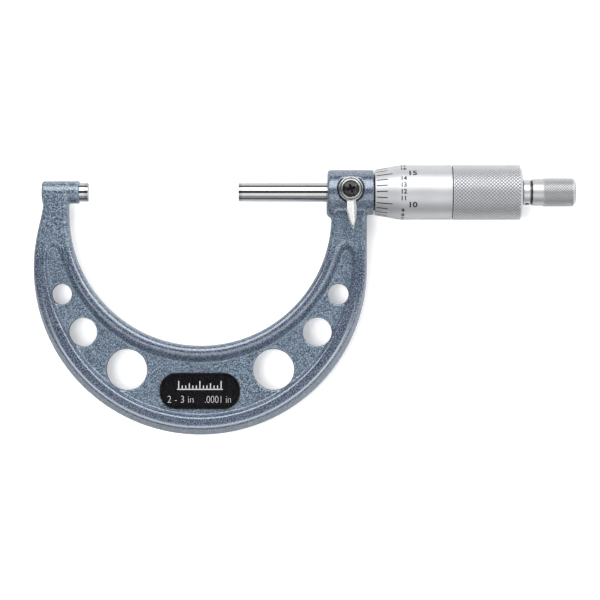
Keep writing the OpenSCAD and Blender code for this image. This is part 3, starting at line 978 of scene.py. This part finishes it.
def enamel():
    """Grey-blue hammertone enamel, mottled on the web and arms and smoother on the rims, with a
    painted highlight along the outer rim's crest.
    """
    s = Shader("hammertone_enamel", metallic=0.0, roughness=0.33, IOR=2.4, Coat_Weight=0.25,
               Coat_IOR=1.6, Coat_Roughness=0.1, Specular_Tint=(0.82, 0.91, 1.0, 1))
    where = s.where()
    step, combine = s.step, s.combine
    # 1 on the two rims, where the forging is smooth, and on the spindle's boss
    front = step(where["Z"], WEB_H + 0.5, WEB_H + 1.3)
    back = step(where["Z"], -WEB_H - 0.5, -WEB_H - 1.3)
    rim = combine("MULTIPLY", combine("MAXIMUM", front, back), step(where["Y"], -17, -23))
    boss = combine("MULTIPLY", step(where["X"], 79, 81), step(where["Y"], -9, -7))
    smooth = combine("MAXIMUM", rim, boss)
    grain = s.noise(s.scaled(2500, 2500, 2500), 2, 0.6, 0.4)
    broad = s.noise(s.scaled(420, 420, 420), 2, 0.5)
    fleck = s.ramp(grain, [(0.42, (0.004, 0.01, 0.022)), (0.5, (0.054, 0.1, 0.162)),
                           (0.58, (0.4, 0.51, 0.65))])
    mottled = s.mix(s.spread(broad, 0.0, 0.12), fleck, (0.05, 0.085, 0.145))
    even = s.ramp(grain, [(0.4, (0.03, 0.045, 0.08)), (0.5, (0.09, 0.12, 0.18)),
                          (0.6, (0.28, 0.33, 0.43))])
    # painted highlight: a light line is painted along the outer rim's crest, toward the bottom of
    # the bow
    flat = s.node("ShaderNodeCombineXYZ", X=where["X"], Y=where["Y"]).outputs["Vector"]
    away = s.from_point(flat, (ARC_X * MM, OUTER_Y * MM, 0))
    none, most = (0, 0, 0), (0.6, 0.6, 0.6)
    crest_highlight = s.ramp(step(away, CREST_R - CREST_HALF_W, CREST_R + CREST_HALF_W),
                   [(0.2, none), (0.4, most), (0.6, most), (0.85, none)])
    crest_highlight = combine("MULTIPLY", crest_highlight, combine("MULTIPLY", rim, step(where["Y"], -32, -52)))
    s.colour(s.mix(crest_highlight, s.mix(smooth, mottled, even), (0.68, 0.76, 0.87)))
    s.rough(s.mix(smooth, s.spread(grain, 0.34, 0.22), s.spread(grain, 0.2, 0.14)))
    depth = s.node("ShaderNodeMapRange", Value=smooth, To_Min=1.0, To_Max=0.25).outputs["Result"]
    dimples = s.bump(s.cells(s.scaled(900, 900, 900)), 0.09, depth)
    s.normal(s.bump(grain, 0.06, depth, dimples))
    return s.material


def satin(name, colour, roughness, streak, tool_marks, cut_r, shade, cut_x):
    """Satin chrome over turned steel with faint rings.

    Between the two x of cut_x, painted shade darkens the cuts to the share shade of the colour:
    fully below the first radius of cut_r, and not at all above the second. From the first x on,
    a painted sheen makes the colour a little brighter.
    """
    s = Shader(name, metallic=1.0, roughness=roughness)

    def tinted(factor):
        return tuple(c * factor for c in colour)

    rings = s.noise(s.scaled(5200, 60, 60), 2, 0.6)
    cloud = s.noise(s.scaled(160, 160, 160), 3, 0.55)
    tone = s.mix(s.spread(cloud, 0, 0.6), colour, tinted(0.88))
    where = s.where()
    section = s.node("ShaderNodeCombineXYZ", Y=where["Y"], Z=where["Z"]).outputs["Vector"]
    behind = s.step(where["X"], cut_x[0], cut_x[0] + 0.05)
    ahead = s.step(where["X"], cut_x[1], cut_x[1] - 0.05)
    # painted sheen: from the first x on, the colour is painted a little brighter
    tone = s.mix(behind, tone, tinted(1.08))
    # painted shade: the cuts below the radii of cut_r are darkened, between the two x of cut_x
    deep = s.step(s.from_point(section, (0, 0, 0)), cut_r[1], cut_r[0])
    deep = s.combine("MULTIPLY", deep, s.combine("MULTIPLY", behind, ahead))
    s.colour(s.mix(deep, tone, tinted(shade)))
    s.rough(s.spread(rings, roughness - streak, roughness + streak))
    grain = s.bump(s.noise(s.scaled(9000, 9000, 9000), 2, 0.6), 0.004, 0.5)
    s.normal(s.bump(rings, tool_marks, 0.6, grain))
    return s.material


def ground(name, colour, roughness):
    """Ground and lapped steel with very fine rings."""
    s = Shader(name, metallic=1.0, roughness=roughness)
    rings = s.noise(s.scaled(9000, 90, 90), 3, 0.6)
    stain = s.noise(s.scaled(240, 240, 240), 4, 0.6)
    s.colour(s.mix(s.spread(stain, 0, 0.5), colour, tuple(c * 0.86 for c in colour)))
    s.rough(s.spread(rings, roughness * 0.7, roughness * 1.4))
    s.normal(s.bump(rings, 0.0015, 0.4))
    return s.material


def carbide():
    """Lapped hard metal: darker and slightly grainy."""
    s = Shader("hard_metal", metallic=1.0, roughness=0.09)
    grain = s.noise(s.scaled(14000, 14000, 14000), 2, 0.7)
    s.colour(s.ramp(grain, [(0.3, (0.4, 0.405, 0.415)), (0.7, (0.52, 0.525, 0.535))]))
    s.rough(s.spread(grain, 0.06, 0.14))
    s.normal(s.bump(grain, 0.001, 0.4))
    return s.material


def plate_black():
    """Gloss black plate with a faint orange-peel surface."""
    s = Shader("plate_black", metallic=0.0, roughness=0.22, IOR=1.4, Coat_Weight=0.15,
               Coat_Roughness=0.08)
    peel = s.noise(s.scaled(1900, 1900, 1900), 2, 0.5)
    s.colour(s.ramp(peel, [(0.3, (0.002, 0.002, 0.003)), (0.75, (0.007, 0.007, 0.009))]))
    s.rough(s.spread(peel, 0.17, 0.3))
    s.normal(s.bump(peel, 0.01, 0.4))
    return s.material


def paint(name, dark, light, roughness):
    """Filled-in paint of the marks, a little uneven."""
    s = Shader(name, metallic=0.0, roughness=roughness)
    blot = s.noise(s.scaled(2600, 2600, 2600), 3, 0.6)
    s.colour(s.ramp(blot, [(0.3, dark), (0.7, light)]))
    s.rough(s.spread(blot, roughness - 0.1, roughness + 0.1))
    s.normal(s.bump(blot, 0.006, 0.5))
    return s.material


def black_oxide():
    """Black oxide screw, browner where it has worn."""
    s = Shader("black_oxide", metallic=0.35, roughness=0.12, IOR=1.55)
    wear = s.noise(s.scaled(1300, 1300, 1300), 4, 0.65)
    s.colour(s.ramp(wear, [(0.3, (0.014, 0.014, 0.015)), (0.62, (0.03, 0.03, 0.03)),
                           (0.8, (0.14, 0.137, 0.13))]))
    s.rough(s.spread(wear, 0.07, 0.16))
    s.normal(s.bump(wear, 0.003, 0.4))
    return s.material


def polished():
    """Polished chrome of the lever, with faint polishing swirls."""
    s = Shader("polished_chrome", metallic=1.0, roughness=0.2)
    swirl = s.noise(s.scaled(2600, 500, 2600), 3, 0.6, 0.8)
    s.colour(s.mix(s.spread(swirl, 0, 1), (0.8, 0.815, 0.81), (0.68, 0.695, 0.695)))
    s.rough(s.spread(swirl, 0.17, 0.24))
    s.normal(s.bump(swirl, 0.0004, 0.3))
    return s.material


def oiled(name, dark, light, roughness):
    """Hidden steel with an oil film, blotchy and ringed."""
    s = Shader(name, metallic=1.0, roughness=roughness, Coat_Weight=0.3, Coat_Roughness=0.1)
    film = s.noise(s.scaled(500, 500, 500), 4, 0.6, 0.5)
    rings = s.noise(s.scaled(6000, 100, 100), 2, 0.6)
    s.colour(s.ramp(film, [(0.3, dark), (0.7, light)]))
    s.rough(s.spread(rings, roughness - 0.08, roughness + 0.1))
    s.normal(s.bump(rings, 0.006, 0.5))
    return s.material


# ------------------------ stage
# in metres: the width that the image shows at z = 0, and where the camera is
IMAGE_W = 0.2046
CAMERA = (0.0721, -0.0367, 0.87)
SENSOR_W = 36
LIGHT_AWAY = 1.0


def softbox(name, tilt, half_tilt, radiance, side=90, half_long=45):
    """An area light tilt degrees from straight up, toward side degrees round from +X."""
    light = bpy.data.lights.new(name, "AREA")
    light.shape = "RECTANGLE"
    light.size = 2 * LIGHT_AWAY * math.tan(math.radians(half_long))
    light.size_y = 2 * LIGHT_AWAY * math.tan(math.radians(half_tilt))
    # an area light's power is its radiance times pi times its area
    light.energy = radiance * math.pi * light.size * light.size_y
    obj = bpy.data.objects.new(name, light)
    bpy.context.scene.collection.objects.link(obj)
    a, b = math.radians(tilt), math.radians(side)
    obj.location = (CAMERA[0] + LIGHT_AWAY * math.sin(a) * math.cos(b),
                    LIGHT_AWAY * math.sin(a) * math.sin(b), LIGHT_AWAY * math.cos(a))
    obj.rotation_euler = (a, 0, b + math.pi / 2)
    return obj


def build_stage():
    scene = bpy.context.scene
    scene.view_settings.view_transform = "Standard"
    lens = bpy.data.cameras.new("camera")
    lens.sensor_width = SENSOR_W
    lens.lens = SENSOR_W * CAMERA[2] / IMAGE_W
    camera = bpy.data.objects.new("camera", lens)
    camera.location = CAMERA
    scene.collection.objects.link(camera)
    scene.camera = camera

    # the table that the camera sees is not the one that the part reflects, so that the ground
    # can be as white as a cut-out and the part is still lit as on a plain table
    seen = build_table("table_seen", FLOOR_Z / MM, 0.37)
    mirrored = build_table("table_mirrored", FLOOR_Z / MM - 0.5, 0.05)
    seen.visible_diffuse = seen.visible_glossy = seen.visible_shadow = False
    mirrored.visible_camera = False

    world = bpy.data.worlds.new("studio")
    scene.world = world
    world.use_nodes = True
    sky = world.node_tree.nodes["Background"].inputs
    sky["Color"].default_value = (0.9, 0.95, 1.0, 1)
    sky["Strength"].default_value = 0.05
    softbox("key", 42, 18, 2.8)
    softbox("key_near", 20.5, 3.5, 1.4)
    softbox("key_low", 65, 5, 0.8)
    softbox("strip", 27, 16, 1.1, side=-90)
    softbox("low_fill", 59, 17, 0.35, side=-90)
    softbox("end_right", 58, 22, 0.65, side=0, half_long=35)
    # this one lights only the table that is seen, for soft shadows up and to the right
    table = softbox("table_light", 15, 8, 23, side=198, half_long=8)
    only = bpy.data.collections.new("table_only")
    only.objects.link(seen)
    table.light_linking.receiver_collection = only


def build_table(name, level, glow):
    """White paper under the part, which glows a little."""
    half = 1600
    corners = [(x * half, y * half, level) for x, y in ((-1, -1), (1, -1), (1, 1), (-1, 1))]
    table = make_mesh(name, corners, [(0, 1, 2, 3)])
    s = Shader(name, metallic=0.0, roughness=0.7, Emission_Color=(1, 1, 1, 1),
               Emission_Strength=glow)
    paper = s.noise(s.scaled(700, 700, 700), 3, 0.6)
    s.colour(s.ramp(paper, [(0.3, (0.86, 0.86, 0.86)), (0.7, (0.88, 0.88, 0.88))]))
    table.data.materials.append(s.material)
    return table


# ------------------------ assembly
def dress(node, material):
    """Gives a CAD node that stays its material, with its edges broken a little."""
    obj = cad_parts[node]
    obj.data.materials.clear()
    obj.data.materials.append(material)
    bevel = obj.modifiers.new("broken_edges", "BEVEL")
    bevel.width = 0.00006
    bevel.segments = 2
    bevel.limit_method = "ANGLE"
    bevel.angle_limit = math.radians(40)
    bevel.harden_normals = False


def main():
    build_stage()
    steel = ground("ground_steel", (0.64, 0.64, 0.65), 0.07)
    tip = carbide()
    # painted shade, with some dirt, in the bottoms of the thimble's knurl and its groove; painted
    # sheen on the knurl
    chrome = satin("satin_chrome", (0.77, 0.78, 0.8), 0.5, 0.05, 0.004,
                   (THIMBLE_R - 0.33, THIMBLE_R - 0.16), 0.2, (KNURL_X - 0.3, THIMBLE_X1 - 1.3))
    # painted shade darkens the sleeve's step in the gap ahead of the thimble
    sleeve = satin("satin_sleeve", (0.76, 0.765, 0.775), 0.42, 0.05, 0.004,
                   (SLEEVE_R - 0.4, SLEEVE_R - 0.2), 0.06, (BOSS_X1 - 1, SLEEVE_X1 - 1))
    # painted shade darkens the hole and the cuts in the collar
    collar = satin("turned_chrome", (0.74, 0.745, 0.755), 0.4, 0.08, 0.02,
                   (BASE_R - 0.35, BASE_R - 0.1), 0.02, (THIMBLE_X1 - 2, KNOB_X0 - 0.7))
    # painted shade, with some dirt, in the bottoms of the knob's knurl; painted sheen on its grip
    knob = satin("knob_chrome", (0.72, 0.725, 0.735), 0.45, 0.06, 0.02,
                 (KNOB_R - 0.25, KNOB_R - 0.1), 0.3, (GRIP_X - 0.05, KNOB_X1 - 1.2))
    black = paint("mark_black", (0.006, 0.006, 0.007), (0.02, 0.02, 0.022), 0.45)
    white = paint("mark_white", (0.72, 0.72, 0.72), (0.86, 0.86, 0.86), 0.45)
    hard = oiled("hardened_steel", (0.28, 0.285, 0.3), (0.42, 0.42, 0.43), 0.3)
    bright = oiled("oiled_steel", (0.5, 0.5, 0.51), (0.62, 0.62, 0.63), 0.28)
    brass = oiled("turned_brass", (0.6, 0.42, 0.16), (0.78, 0.58, 0.27), 0.28)
    oxide = black_oxide()

    place(build_frame(), "frame", enamel(), "frame_enamel", "frame")
    lever, screw = build_clamp()
    place(lever, "clamp_group", polished(), "lever_chrome", "clamp_lever")
    place(screw, "clamp_group", oxide, "screw_black", "clamp_screw")
    place(build_plate(), "frame", plate_black(), "plate_black", "name_plate")
    place(build_plate_marks(), "frame", white, "plate_black")
    place(build_thimble(), "thimble_group", chrome, "satin_thimble", "thimble")
    place(build_thimble_marks(), "thimble_group", black, "satin_thimble")
    place(build_sleeve(), "frame", sleeve, "satin_sleeve", "outer_sleeve")
    place(build_sleeve_marks(), "frame", black, "satin_sleeve")
    place(build_spindle(), "thimble_group", steel, "ground_steel", "spindle")
    place(build_knob(), "knob_group", knob, "knob_chrome", "ratchet_knob")
    # painted shade: a dark ring stands for the shadow in the gap ahead of the knob
    place(build_knob_ring(), "knob_group", oxide, "screw_black")
    # the spring's front end goes with the pawl as it clicks and its back end stays, so the spring is
    # put on no body and stays as it is built
    spring = build_spring()
    spring.data.materials.append(hard)
    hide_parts("ratchet_spring")
    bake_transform(spring)

    anvil, anvil_face, spindle_face = build_measuring_ends()
    place(anvil, "frame", steel, "ground_steel", "anvil")
    place(anvil_face, "frame", tip, "carbide", "anvil_tip")
    place(spindle_face, "spindle_slide", tip, "carbide", "spindle_tip")
    for node, material in (
        ("inner_sleeve", bright), ("adjusting_nut", hard), ("ratchet_base", collar),
        ("ratchet_pawl", hard), ("ratchet_screw", oxide), ("clamp_stud", hard),
        ("clamp_pad", brass), ("clamp_washer", hard),
    ):
        dress(node, material)


main()
